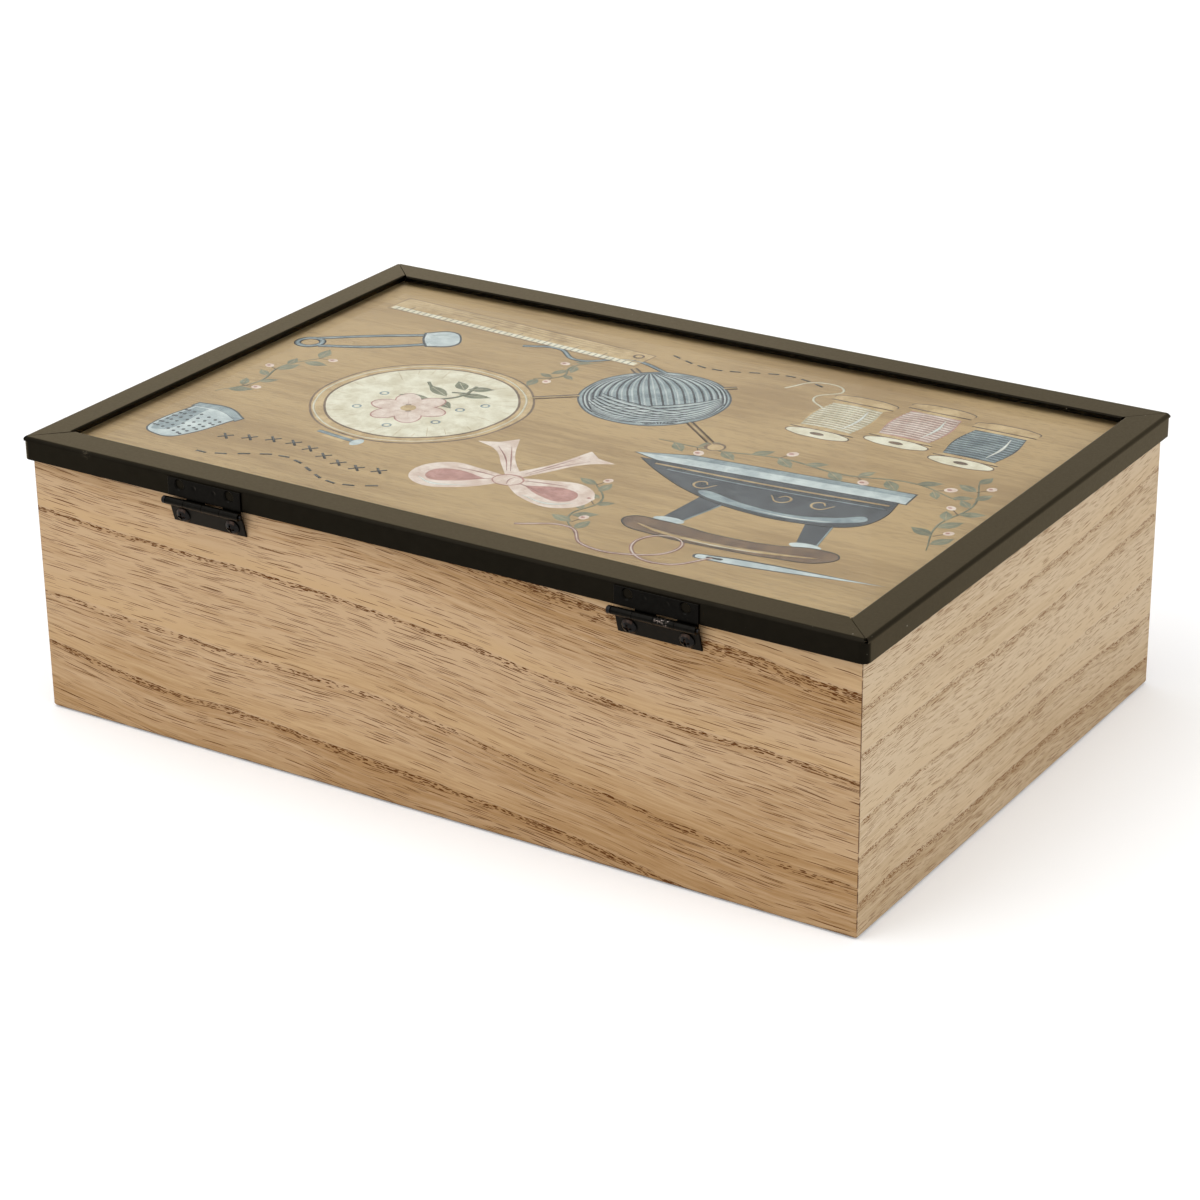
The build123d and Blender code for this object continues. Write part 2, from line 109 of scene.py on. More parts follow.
class Bench:
    """Adds nodes to one node tree. Each method returns the output to plug in elsewhere."""

    def __init__(self, tree):
        self.tree = tree

    def node(self, kind, *plugs, **settings):
        made = self.tree.nodes.new(kind)
        for key, value in settings.items():
            setattr(made, key, value)
        for place, plug in enumerate(plugs):
            self.plug(made.inputs[place], plug)
        return made

    def plug(self, socket, value):
        """Joins an output to the socket, or sets the socket to a value."""
        if isinstance(value, bpy.types.NodeSocket):
            self.tree.links.new(value, socket)
        elif hasattr(value, "__len__") and socket.type == "RGBA" and len(value) == 3:
            socket.default_value = (*value, 1)
        else:
            socket.default_value = value

    def give(self, made, **plugs):
        """Plugs into a node by the names of its sockets, written with _ for spaces."""
        for name, value in plugs.items():
            self.plug(made.inputs[name.replace("_", " ")], value)

    def math(self, operation, *plugs, clamp=False):
        return self.node("ShaderNodeMath", *plugs, operation=operation, use_clamp=clamp).outputs[0]

    def add(self, *plugs):
        return self.math("ADD", *plugs)

    def less(self, *plugs):
        """The first less the second."""
        return self.math("SUBTRACT", *plugs)

    def times(self, *plugs):
        return self.math("MULTIPLY", *plugs)

    def most(self, *plugs):
        return self.math("MAXIMUM", *plugs)

    def size(self, plug):
        return self.math("ABSOLUTE", plug)

    def step(self, value, low, high, to_low=0.0, to_high=1.0):
        """0 below low and 1 above high, with a smooth change between; low may be the larger."""
        return self.node("ShaderNodeMapRange", value, low, high, to_low, to_high,
                         interpolation_type="SMOOTHSTEP").outputs[0]

    def mix(self, share, first, second):
        """A colour between two colours."""
        made = self.node("ShaderNodeMix", data_type="RGBA")
        self.plug(made.inputs["Factor"], share)
        self.plug(made.inputs[6], first)
        self.plug(made.inputs[7], second)
        return made.outputs[2]

    def blend(self, share, first, second):
        """A number between two numbers."""
        made = self.node("ShaderNodeMix", data_type="FLOAT")
        self.plug(made.inputs["Factor"], share)
        self.plug(made.inputs[2], first)
        self.plug(made.inputs[3], second)
        return made.outputs[0]

    def split(self, vector):
        return self.node("ShaderNodeSeparateXYZ", vector).outputs[:3]

    def join(self, x=0.0, y=0.0, z=0.0):
        return self.node("ShaderNodeCombineXYZ", x, y, z).outputs[0]

    def scaled(self, vector, x, y, z):
        return self.node("ShaderNodeVectorMath", vector, (x, y, z), operation="MULTIPLY").outputs[0]

    def noise(self, vector, scale=1.0, detail=2.0, roughness=0.5):
        made = self.node("ShaderNodeTexNoise")
        self.give(made, Vector=vector, Scale=scale, Detail=detail, Roughness=roughness)
        return made.outputs[0]

    def cells(self, vector, scale):
        """Distance to the nearest scattered point, and a random colour for that point."""
        made = self.node("ShaderNodeTexVoronoi", feature="F1")
        self.give(made, Vector=vector, Scale=scale)
        return made.outputs["Distance"], made.outputs["Color"]

    def flat_cells(self, x, y):
        """As cells, for points scattered on a plane; the colour comes back as three numbers."""
        made = self.node("ShaderNodeTexVoronoi", feature="F1", voronoi_dimensions="2D")
        self.give(made, Vector=self.join(x, y, 0.0), Scale=1.0)
        shade = self.node("ShaderNodeSeparateColor", made.outputs["Color"]).outputs
        return made.outputs["Distance"], shade

    def near(self, place, point, inner, outer):
        """1 within inner of a point, in millimetres, and 0 beyond outer."""
        away = self.node("ShaderNodeVectorMath", place, point, operation="DISTANCE").outputs["Value"]
        return self.step(away, outer, inner)

    def bump(self, height, strength, distance):
        made = self.node("ShaderNodeBump")
        self.give(made, Height=height, Strength=strength, Distance=distance)
        return made.outputs[0]

    def place(self):
        """Where on the piece a point is, in millimetres."""
        made = self.node("ShaderNodeTexCoord")
        return self.scaled(made.outputs["Object"], 1 / MM, 1 / MM, 1 / MM)

    def seen(self):
        """The kinds of ray, and 1 for those that show a thing itself and not its light."""
        light = self.node("ShaderNodeLightPath").outputs
        mirrored = self.most(light["Is Glossy Ray"], light["Is Transmission Ray"])
        return light, self.most(light["Is Camera Ray"], mirrored)

    def use(self, group, **plugs):
        """Places a shared effect and gives it its own values."""
        made = self.node("ShaderNodeGroup")
        made.node_tree = group
        self.give(made, **plugs)
        return made.outputs


def shared_effect(name, inputs, outputs):
    """An empty node group: its bench, its inputs by name, and the node that takes its results."""
    group = bpy.data.node_groups.new(name, "ShaderNodeTree")
    kinds = {"number": "NodeSocketFloat", "vector": "NodeSocketVector", "colour": "NodeSocketColor"}
    for label, kind in inputs.items():
        group.interface.new_socket(name=label, in_out="INPUT", socket_type=kinds[kind])
    for label, kind in outputs.items():
        group.interface.new_socket(name=label, in_out="OUTPUT", socket_type=kinds[kind])
    bench = Bench(group)
    given = group.nodes.new("NodeGroupInput").outputs
    results = group.nodes.new("NodeGroupOutput").inputs
    return group, bench, given, results


def finish_of(name):
    """A new material with an empty tree apart from its surface shader."""
    material = bpy.data.materials.new(name)
    material.use_nodes = True
    bench = Bench(material.node_tree)
    shader = material.node_tree.nodes["Principled BSDF"]
    return material, bench, shader


# Shared effects

def wood_grain_effect():
    """Open-pored grain that runs along X of the given vector, in millimetres."""
    group, b, given, results = shared_effect(
        "wood_grain",
        {"Vector": "vector", "Pale": "colour", "Ochre": "colour", "Brown": "colour", "Pore": "colour",
         "Ring Spacing": "number", "Pore Length": "number", "Pore Width": "number", "Chains": "number",
         "Age": "number"},
        {"Color": "colour", "Height": "number"})
    along, across, deep = b.split(given["Vector"])
    # the grain wanders slowly, and ripples a little
    wander = b.noise(b.scaled(given["Vector"], 0.007, 0.018, 0.02), detail=1.0)
    ripple = b.noise(b.scaled(given["Vector"], 0.045, 0.12, 0.12), detail=2.0)
    line = b.add(b.add(across, b.times(deep, 0.7)), b.add(b.times(wander, 20.0), b.times(ripple, 1.6)))
    grain = b.join(along, line, deep)
    # rings lie at uneven distances, and each is more or less marked
    uneven = b.noise(b.join(b.times(line, 0.035), 3.7, 0.0), detail=1.0)
    phase = b.add(b.math("DIVIDE", line, given["Ring Spacing"]), b.times(uneven, 1.5))
    ring = b.math("FRACT", phase)
    vigour = b.node("ShaderNodeTexWhiteNoise", noise_dimensions="1D")
    b.plug(vigour.inputs["W"], b.math("FLOOR", phase))
    vigour = b.blend(vigour.outputs["Value"], 0.35, 1.0)
    # each ring ends above in a narrow band of coarse pores, thins out below, and starts smooth
    band = b.times(b.times(b.step(ring, 0.84, 0.95), b.step(ring, 1.0, 0.985)), vigour)
    crowd = b.times(b.step(ring, 0.62, 0.86), b.times(vigour, 0.3))
    crowd = b.add(b.step(ring, 0.05, 0.90, 0.16, 0.62), crowd)
    ochre = b.times(b.step(ring, 0.0, 0.04), b.step(ring, 0.50, 0.08))
    late = b.times(b.step(ring, 0.60, 0.95), b.step(ring, 1.0, 0.97))

    def dashes(length, width, size, share, offset, softness):
        """Pores in cells of this length and width: how big, in what share of the cells."""
        distance, shade = b.flat_cells(
            b.math("DIVIDE", b.add(along, offset), b.times(given["Pore Length"], length)),
            b.math("DIVIDE", line, b.times(given["Pore Width"], width)))
        kept = b.math("LESS_THAN", shade[1], share)
        reach = b.times(b.times(kept, size), b.blend(shade[0], 0.45, 1.0))
        return b.step(b.less(reach, distance), 0.0, softness)

    patch = b.noise(b.scaled(grain, 0.016, 0.09, 0.0), detail=2.0)
    crowd = b.times(crowd, b.step(patch, 0.30, 0.62, 0.75, 1.25))
    chains = b.times(band, given["Chains"])
    thin = dashes(24.0, 0.60, 0.205, b.times(crowd, 1.6), 0.0, 0.03)
    fine = dashes(20.0, 0.44, 0.200, b.times(crowd, 2.1), 31.0, 0.05)
    second = dashes(40.0, 0.85, 0.150, b.times(crowd, 1.5), 113.0, 0.03)
    chain = dashes(2.4, 0.46, 0.42, b.times(chains, 1.6), 57.0, 0.04)
    link = dashes(6.0, 0.55, 0.28, b.times(chains, 1.4), 83.0, 0.04)
    faint = b.most(b.times(thin, 0.95), b.most(b.times(fine, 0.60), b.times(second, 0.9)))
    pores = b.most(faint, b.most(chain, link))
    # fibres and broad patches of colour
    fibre = b.noise(b.scaled(grain, 0.06, 1.8, 1.8), detail=4.0, roughness=0.75)
    streak = b.noise(b.scaled(grain, 0.03, 0.8, 0.8), detail=2.0)
    cloud = b.noise(b.scaled(grain, 0.012, 0.045, 0.045), detail=2.0)
    brown = b.add(b.times(late, b.blend(vigour, 0.15, 0.50)), b.times(b.less(cloud, 0.46), 1.5))
    brown = b.add(brown, b.add(b.times(b.less(fibre, 0.5), 2.3), b.times(b.less(streak, 0.5), 1.2)))
    # painted shade from the caller, added as more brown
    brown = b.add(brown, given["Age"])
    board = b.mix(b.times(ochre, 0.8), given["Pale"], given["Ochre"])
    board = b.mix(b.most(b.math("MINIMUM", brown, 1.0), 0.0), board, given["Brown"])
    b.plug(results["Color"], b.mix(pores, board, given["Pore"]))
    b.plug(results["Height"], b.less(b.times(fibre, 0.3), pores))
    return group


def specks_effect():
    """Dust and fine scuffs: scattered pale specks, and short scratches."""
    group, b, given, results = shared_effect(
        "specks", {"Vector": "vector", "Amount": "number"},
        {"Dust": "number", "Scuffs": "number"})
    distance, shade = b.cells(given["Vector"], scale=0.22)
    pick = b.node("ShaderNodeSeparateColor", shade).outputs[1]
    size = b.times(b.step(pick, 0.55, 1.0), 0.055)
    dust = b.step(b.less(b.times(size, given["Amount"]), distance), 0.0, 0.012)
    fine_distance, fine_shade = b.cells(given["Vector"], scale=0.9)
    fine_pick = b.node("ShaderNodeSeparateColor", fine_shade).outputs[0]
    fine_size = b.times(b.step(fine_pick, 0.7, 1.0), 0.09)
    fine = b.step(b.less(b.times(fine_size, given["Amount"]), fine_distance), 0.0, 0.03)
    b.plug(results["Dust"], b.most(dust, b.times(fine, 0.5)))
    rub = b.noise(b.scaled(given["Vector"], 0.25, 2.2, 2.2), detail=3.0, roughness=0.7)
    where = b.noise(given["Vector"], scale=0.05, detail=2.0)
    b.plug(results["Scuffs"], b.times(b.step(rub, 0.62, 0.75), b.step(where, 0.5, 0.7)))
    return group


def paper_effect():
    """The fine fibre that the whole print shares, along X."""
    group, b, given, results = shared_effect("paper_fibre", {"Vector": "vector"}, {"Tone": "number"})
    x, y = b.split(given["Vector"])[:2]
    fine = b.noise(b.scaled(given["Vector"], 0.06, 1.8, 0.0), detail=4.0, roughness=0.6)
    broad = b.noise(b.join(b.times(x, 0.02), b.times(y, 0.35), 5.0), detail=2.0)
    b.plug(results["Tone"], b.add(b.times(fine, 0.6), b.times(broad, 0.4)))
    return group


WOOD_GRAIN = wood_grain_effect()
SPECKS = specks_effect()
PAPER = paper_effect()


# Finishes

def veneer(name, grain_along_x, pale, ochre, brown, pore, ring_spacing, pore_length, pore_width,
           chains, tilt):
    """Open-pored veneer with its scorched corner line, painted shade low down and painted shadow at the
    base.
    """
    material, b, shader = finish_of(name)
    place = b.place()
    x, y, z = b.split(place)
    along, deep = (x, y) if grain_along_x else (y, x)
    lengthwise = b.join(along, b.less(z, b.times(along, tilt)), deep)
    # painted shade: the veneer is browner low down, and towards the -X end of the long sides
    end_shade = 0.22 if grain_along_x else 0.0
    painted_shade = b.add(b.step(z, 36.0, 2.0, 0.0, 0.52), b.step(x, 20.0, -126.0, 0.0, end_shade))
    grain = b.use(WOOD_GRAIN, Vector=lengthwise, Pale=pale, Ochre=ochre, Brown=brown, Pore=pore,
                  Ring_Spacing=ring_spacing, Pore_Length=pore_length, Pore_Width=pore_width,
                  Chains=chains, Age=painted_shade)
    # the mitre shows as a thin broken line down each corner, and a painted shadow darkens the base edge
    from_end = b.less(HALF_LENGTH, b.size(x))
    from_back = b.less(HALF_DEPTH, b.size(y))
    corner = b.most(from_end, from_back)
    broken = b.noise(b.scaled(place, 0.3, 0.3, 0.55), detail=3.0)
    corner_line = b.times(b.step(corner, 0.32, 0.16), b.step(broken, 0.34, 0.50))
    # painted shadow: a ragged dark line along the bottom edge, where the box meets the floor
    ragged = b.noise(b.scaled(place, 0.25, 0.25, 0.0), detail=3.0)
    painted_base_shadow = b.times(b.step(b.add(z, b.times(b.less(ragged, 0.5), 1.2)), 0.75, 0.2), 0.8)
    burnt_joint_and_shadow = b.most(b.times(corner_line, 0.85), painted_base_shadow)
    colour = b.mix(burnt_joint_and_shadow, grain["Color"], BURNT_JOINT_AND_SHADOW)
    rough = b.noise(b.scaled(lengthwise, 0.1, 1.2, 1.0), detail=2.0)
    b.give(shader, Base_Color=colour, Roughness=b.blend(rough, 0.62, 0.80),
           Normal=b.bump(grain["Height"], 0.35, 0.12 * MM), Specular_IOR_Level=0.15)
    return material


def plain_board(name, pale, brown, grain):
    """Pressed or sawn board seen inside the box: grain is x, y or none."""
    material, b, shader = finish_of(name)
    place = b.place()
    if grain == "none":
        chips = b.cells(place, scale=0.45)[0]
        height = b.noise(place, scale=0.8, detail=4.0, roughness=0.7)
        colour = b.mix(b.add(b.times(chips, 0.45), b.times(height, 0.55)), pale, brown)
    else:
        x, y, z = b.split(place)
        along, deep = (x, y) if grain == "x" else (y, x)
        wood = b.use(WOOD_GRAIN, Vector=b.join(along, z, deep), Pale=pale, Ochre=pale, Brown=brown,
                     Pore=tuple(0.55 * c for c in brown), Ring_Spacing=9.0, Pore_Length=0.7,
                     Pore_Width=0.8, Chains=0.6, Age=0.0)
        colour, height = wood["Color"], wood["Height"]
    rough = b.noise(place, scale=0.5)
    b.give(shader, Base_Color=colour, Roughness=b.blend(rough, 0.6, 0.8),
           Normal=b.bump(height, 0.25, 0.1 * MM), Specular_IOR_Level=0.3)
    return material


def frame_coat():
    """Satin brown-black coat of the folded lid frame, with dust and one nick on the fold."""
    material, b, shader = finish_of("black_frame_coat")
    place = b.place()
    near_corner = b.near(place, (LID_LOW.x / MM, LID_HIGH.y / MM, LID_HIGH.z / MM), 10.0, 75.0)
    specks = b.use(SPECKS, Vector=place, Amount=b.blend(near_corner, 0.7, 1.25))
    mottle = b.noise(place, scale=0.35, detail=4.0, roughness=0.65)
    colour = b.mix(mottle, FRAME_DARK, FRAME_PALE)
    colour = b.mix(b.times(specks["Scuffs"], 0.10), colour, FRAME_SCUFF)
    colour = b.mix(b.times(specks["Dust"], 0.5), colour, FRAME_DUST)
    # a small knock on the fold of the hinge side, where the coat has cracked
    knock = ((LID_HIGH.x - 22.5 * MM) / MM, LID_HIGH.y / MM, LID_HIGH.z / MM - 0.6)
    crack = b.noise(place, scale=1.6, detail=3.0, roughness=0.8)
    nick = b.times(b.near(place, knock, 0.8, 2.0), b.step(crack, 0.5, 0.6))
    colour = b.mix(b.times(nick, 0.22), colour, FRAME_CRACK)
    rough = b.noise(place, scale=1.2, detail=3.0)
    peel = b.noise(place, scale=1.8, detail=2.0)
    # dust is no metal; the bare coat is, so that its tint shows only at low angles
    b.give(shader, Base_Color=colour, Roughness=b.blend(rough, 0.30, 0.42),
           Normal=b.bump(b.add(peel, b.times(nick, -3.0)), 0.10, 0.03 * MM),
           Metallic=b.math("SUBTRACT", 1.0, specks["Dust"], clamp=True), Specular_Tint=FRAME_SHEEN)
    return material


def hinge_coat(name, worn_from, worn_to):
    """Thin black coat on rolled steel, rubbed through on the knuckle between the two X values."""
    material, b, shader = finish_of(name)
    place = b.place()
    x, y, z = b.split(place)
    specks = b.use(SPECKS, Vector=b.scaled(place, 3.0, 3.0, 3.0), Amount=0.8)
    mottle = b.noise(place, scale=0.9, detail=3.0)
    colour = b.mix(mottle, HINGE_DARK, HINGE_PALE)
    colour = b.mix(b.times(specks["Dust"], 0.18), colour, HINGE_DUST)
    edge = b.noise(place, scale=2.2, detail=4.0, roughness=0.8)
    turning = b.times(b.step(x, worn_from, worn_from + 0.6), b.step(x, worn_to, worn_to - 0.6))
    from_pin = b.near(b.join(0.0, y, z), (0.0, PIN_LINE, PIN_HEIGHT), 1.25, 1.4)
    chips = b.times(b.times(turning, from_pin), b.step(edge, 0.56, 0.60))
    colour = b.mix(chips, colour, BARE_STEEL)
    grit = b.noise(place, scale=3.5, detail=2.0)
    height = b.add(b.less(mottle, chips), b.times(grit, 0.5))
    b.give(shader, Base_Color=colour, Metallic=b.less(1.0, b.times(specks["Dust"], 0.3)),
           Roughness=b.blend(mottle, 0.24, 0.40), Normal=b.bump(height, 0.16, 0.05 * MM),
           Specular_Tint=HINGE_SHEEN)
    return material


def screw_coat(name, node):
    """Black screws with a brown bloom in the cross recess."""
    material, b, shader = finish_of(name)
    place = b.place()
    x, y, z = b.split(place)
    # the heads stand square to the leaning leaf
    cos, sin = math.cos(LEAF_LEAN), math.sin(LEAF_LEAN)
    top = max(v.co.y * cos - v.co.z * sin for v in NODE[node].data.vertices)
    out = b.less(b.times(y, cos), b.times(z, sin))
    sunk = b.less(top / MM, out)
    recess = b.times(b.step(sunk, 0.42, 0.62), b.step(b.noise(place, scale=1.5), 0.30, 0.55))
    recess = b.times(recess, b.step(sunk, 1.3, 1.1))
    low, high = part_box(node)
    reach = SCREW_HEAD / 2
    from_first = b.size(b.less(x, (low.x + reach) / MM))
    from_second = b.size(b.less(x, (high.x - reach) / MM))
    aside = b.math("MINIMUM", from_first, from_second)
    recess = b.times(recess, b.step(aside, 1.35, 1.15))
    colour = b.mix(b.noise(place, scale=1.2, detail=3.0), SCREW_DARK, SCREW_PALE)
    colour = b.mix(b.times(recess, 0.8), colour, SCREW_BLOOM)
    b.give(shader, Base_Color=colour, Metallic=b.less(1.0, recess),
           Roughness=b.blend(b.noise(place, scale=2.0), 0.26, 0.42), IOR=1.25)
    return material


def dark_steel():
    """Drawn steel of the hinge pins."""
    material, b, shader = finish_of("dark_pin_steel")
    place = b.place()
    lines = b.noise(b.scaled(place, 0.3, 6.0, 6.0), detail=2.0)
    b.give(shader, Base_Color=b.mix(lines, PIN_DARK, PIN_PALE), Roughness=b.blend(lines, 0.28, 0.45),
           Metallic=1.0)
    return material


def clear_glass():
    """Picture glass. Lamps reach the print through it, as they do through real thin glass."""
    material, b, shader = finish_of("picture_glass")
    place = b.place()
    smear = b.noise(place, scale=0.03, detail=3.0)
    b.give(shader, Base_Color=GLASS_TINT, Roughness=b.blend(smear, 0.0, 0.02), IOR=1.05,
           Transmission_Weight=1.0)
    light = b.node("ShaderNodeLightPath").outputs
    passing = b.most(light["Is Shadow Ray"], light["Is Diffuse Ray"])
    clear = b.node("ShaderNodeBsdfTransparent", GLASS_SHADOW)
    both = b.node("ShaderNodeMixShader", passing, shader.outputs[0], clear.outputs[0])
    output = material.node_tree.nodes["Material Output"]
    b.plug(output.inputs["Surface"], both.outputs[0])
    return material


def printed_ground():
    """The board under the glass: kraft-coloured print of fine pale wood, brown board below."""
    material, b, shader = finish_of("printed_ground")
    place = b.place()
    x, y, z = b.split(place)
    fibre = b.use(PAPER, Vector=place)["Tone"]
    cloud = b.noise(b.scaled(place, 0.012, 0.03, 0.0), detail=3.0)
    tone = b.add(b.times(fibre, 0.55), b.times(cloud, 0.45))
    printed = b.mix(b.step(tone, 0.395, 0.56), PRINT_DARK, PRINT_PALE)
    # short dark pores of the printed wood pattern
    away, shade = b.flat_cells(b.times(x, 0.16), b.times(y, 1.5))
    reach = b.times(b.math("LESS_THAN", shade[1], 0.42), 0.23)
    pore = b.times(b.step(b.less(reach, away), 0.0, 0.06), 0.5)
    printed = b.mix(pore, printed, PRINT_PORE)
    raw = b.mix(b.noise(place, scale=0.7, detail=4.0), BOARD_PALE, BOARD_BROWN)
    top = b.step(z, BOARD_TOP / MM - 0.25, BOARD_TOP / MM - 0.1)
    b.give(shader, Base_Color=b.mix(top, raw, printed), Roughness=b.blend(fibre, 0.55, 0.7),
           Normal=b.bump(fibre, 0.05, 0.05 * MM))
    return material


def printed_colour(name, dark, pale):
    """A printed colour with the soft blotches of a wash, over the paper's fibre."""
    material, b, shader = finish_of(name)
    place = b.place()
    fibre = b.use(PAPER, Vector=place)["Tone"]
    wash = b.noise(place, scale=0.17, detail=4.0, roughness=0.6)
    edge = b.noise(place, scale=0.55, detail=3.0, roughness=0.7)
    tone = b.add(b.add(b.times(wash, 0.62), b.times(edge, 0.26)), b.times(fibre, 0.12))
    b.give(shader, Base_Color=b.mix(b.step(tone, 0.36, 0.64), dark, pale),
           Roughness=b.blend(fibre, 0.5, 0.65), Normal=b.bump(fibre, 0.04, 0.05 * MM))
    return material


def dress_the_frame():
    """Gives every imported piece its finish."""
    long_veneer = veneer(
        "veneer_long_sides", True, PALE_LONG, OCHRE_LONG, BROWN_LONG, PORE_LONG,
        ring_spacing=23.0, pore_length=1.0, pore_width=1.0, chains=1.0, tilt=0.08)
    short_veneer = veneer(
        "veneer_short_sides", False, PALE_SHORT, OCHRE_SHORT, BROWN_SHORT, PORE_SHORT,
        ring_spacing=15.0, pore_length=0.50, pore_width=0.72, chains=0.8, tilt=0.0)
    divider_x = plain_board("divider_board_long", DIVIDER_PALE, DIVIDER_BROWN, "x")
    divider_y = plain_board("divider_board_cross", DIVIDER_PALE, DIVIDER_BROWN, "y")
    bottom = plain_board("bottom_hardboard", HARDBOARD_PALE, HARDBOARD_BROWN, "none")
    coat = frame_coat()
    latch = hinge_coat("black_latch", *UNWORN)
    pin = dark_steel()
    finishes = {
        "back_wall": long_veneer, "front_wall": long_veneer, "bottom_board": bottom,
        "long_divider": divider_x, "cross_divider_1": divider_y, "cross_divider_2": divider_y,
        "lid_frame": coat, "board_tabs": coat,
        "glass_pane": clear_glass(), "printed_board": printed_ground(),
        "latch_hook": latch, "latch_rivet": latch, "latch_stud": latch,
    }
    for side, worn in (("left", WORN_KNUCKLE), ("right", UNWORN)):
        hinge = side + "_hinge_"
        finishes[side + "_wall"] = short_veneer
        finishes[hinge + "box_leaf"] = hinge_coat("black_" + side + "_hinge", *worn)
        finishes[hinge + "lid_leaf"] = finishes[hinge + "box_leaf"]
        finishes[hinge + "pin"] = pin
        finishes[hinge + "screws"] = screw_coat("black_" + side + "_screws", hinge + "screws")
    for name in NODE:
        piece = NODE[name]
        piece.data.materials.clear()
        piece.data.materials.append(finishes[name])


# Studio

def put_camera():
    """The photograph's viewpoint."""
    cos, sin = math.cos(CAMERA_TURN), math.sin(CAMERA_TURN)
    flat = math.cos(CAMERA_CLIMB)
    back = Vector((sin * flat, -cos * flat, math.sin(CAMERA_CLIMB)))
    level = Vector((cos, sin, 0))
    upright = back.cross(level)
    right = level * math.cos(CAMERA_LEAN) + upright * math.sin(CAMERA_LEAN)
    up = back.cross(right)
    camera = bpy.data.objects.new("camera", bpy.data.cameras.new("camera"))
    turned = Matrix((right, up, back)).transposed().to_4x4()
    camera.matrix_world = Matrix.Translation(CAMERA_PLACE) @ turned
    camera.data.sensor_width = CAMERA_FILM
    camera.data.lens = CAMERA_LENS
    camera.data.clip_start = 0.01
    bpy.context.collection.objects.link(camera)
    bpy.context.scene.camera = camera


def softbox(name, place, aim, width, height, power, colour=WHITE):
    """A rectangular lamp turned to the point that it is aimed at."""
    lamp = bpy.data.lights.new(name, "AREA")
    lamp.shape = "RECTANGLE"
    lamp.size, lamp.size_y = width, height
    lamp.energy = power
    lamp.color = colour
    holder = bpy.data.objects.new(name, lamp)
    holder.location = place
    holder.rotation_euler = (Vector(aim) - Vector(place)).to_track_quat("-Z", "Y").to_euler()
    bpy.context.collection.objects.link(holder)


def put_floor():
    """A pale seamless floor that shows white and keeps the soft shadow."""
    bpy.ops.mesh.primitive_plane_add(size=12, location=(0, 0, -0.0002))
    floor = bpy.context.object
    floor.name = "floor"
    material, b, shader = finish_of("pale_floor")
    light, seen = b.seen()
    # far from the box the lamps fall off, and the floor alone would turn grey behind it
    close_by = b.near(b.place(), (0, 0, 0), 450.0, 1600.0)
    far_off = b.times(b.less(1.0, close_by), light["Is Camera Ray"])
    glow = b.add(b.times(seen, 0.2), b.times(far_off, 0.6))
    b.give(shader, Base_Color=FLOOR_GREY, Roughness=0.9, Specular_IOR_Level=0.1,
           Emission_Color=WHITE, Emission_Strength=glow)
    floor.data.materials.append(material)


def put_light():
    """A white world that lights softly, and five softboxes."""
    world = bpy.data.worlds.new("studio_white")
    bpy.context.scene.world = world
    world.use_nodes = True
    b = Bench(world.node_tree)
    background = world.node_tree.nodes["Background"]
    b.give(background, Color=WHITE, Strength=b.blend(b.seen()[1], 0.45, 1.0))
    softbox("overhead", (0.25, 0.15, 1.5), (0, 0, 0), 1.6, 1.6, 13.5)
    softbox("from_the_right", (-1.5, 0.1, 0.9), (0, 0, 0.04), 1.0, 1.0, 8)
    softbox("from_the_left", (0.7, 1.5, 0.9), (0, 0, 0.04), 1.0, 1.0, 7)
    softbox("cool_overhead", (0.75, 0.62, 1.15), (0, 0, 0.06), 0.3, 0.3, 1.5, LAMP_BLUE)
    softbox("behind_the_latch_side", (1.05, -1.1, 0.6), (0, 0, 0.08), 1.0, 1.0, 1.2)
    bpy.context.scene.view_settings.view_transform = "Standard"


# The print under the glass. It is upright as seen from the latch side: right is +X and up is +Y.
# Each motif is a stack of thin films of printed colour, drawn in millimetres round its own middle.

FIRST_FILM = 0.009 * MM   # top of the lowest film, above the board
FILM_STEP = 0.0125 * MM   # from one layer of films to the next
HAIR = 0.0011 * MM        # between the films of one layer
HAIRS = 9                 # films of one layer before the heights repeat
SUNK = 0.004 * MM         # how far a filled shape reaches into the board
LINE_THICK = 0.008 * MM   # thickness of a drawn line
WELD = 0.0002 * MM
CURVE_STEPS = 7
CORNER = "corner"
# each paint's darkest and palest tone
PAINTS = {
    "charcoal": ((0.016, 0.017, 0.019), (0.060, 0.063, 0.070)),
    "ink": ((0.014, 0.012, 0.010), (0.040, 0.034, 0.028)),
    "steel": ((0.155, 0.190, 0.205), (0.330, 0.375, 0.385)),
    "pale_steel": ((0.36, 0.40, 0.41), (0.58, 0.61, 0.60)),
    "cream": ((0.58, 0.50, 0.36), (0.76, 0.70, 0.57)),
    "chalk": ((0.66, 0.63, 0.57), (0.84, 0.82, 0.77)),
    "blush": ((0.56, 0.40, 0.33), (0.76, 0.64, 0.57)),
    "rose": ((0.30, 0.13, 0.11), (0.50, 0.27, 0.23)),
    "ochre": ((0.36, 0.23, 0.105), (0.56, 0.40, 0.215)),
    "walnut": ((0.070, 0.038, 0.021), (0.180, 0.105, 0.055)),
    "leaf": ((0.105, 0.105, 0.065), (0.235, 0.225, 0.145)),
}
PAINT = {name: printed_colour("printed_" + name, *tones) for name, tones in PAINTS.items()}


def sharp(*points):
    """Marks every point as a corner."""
    return [(*point, CORNER) for point in points]


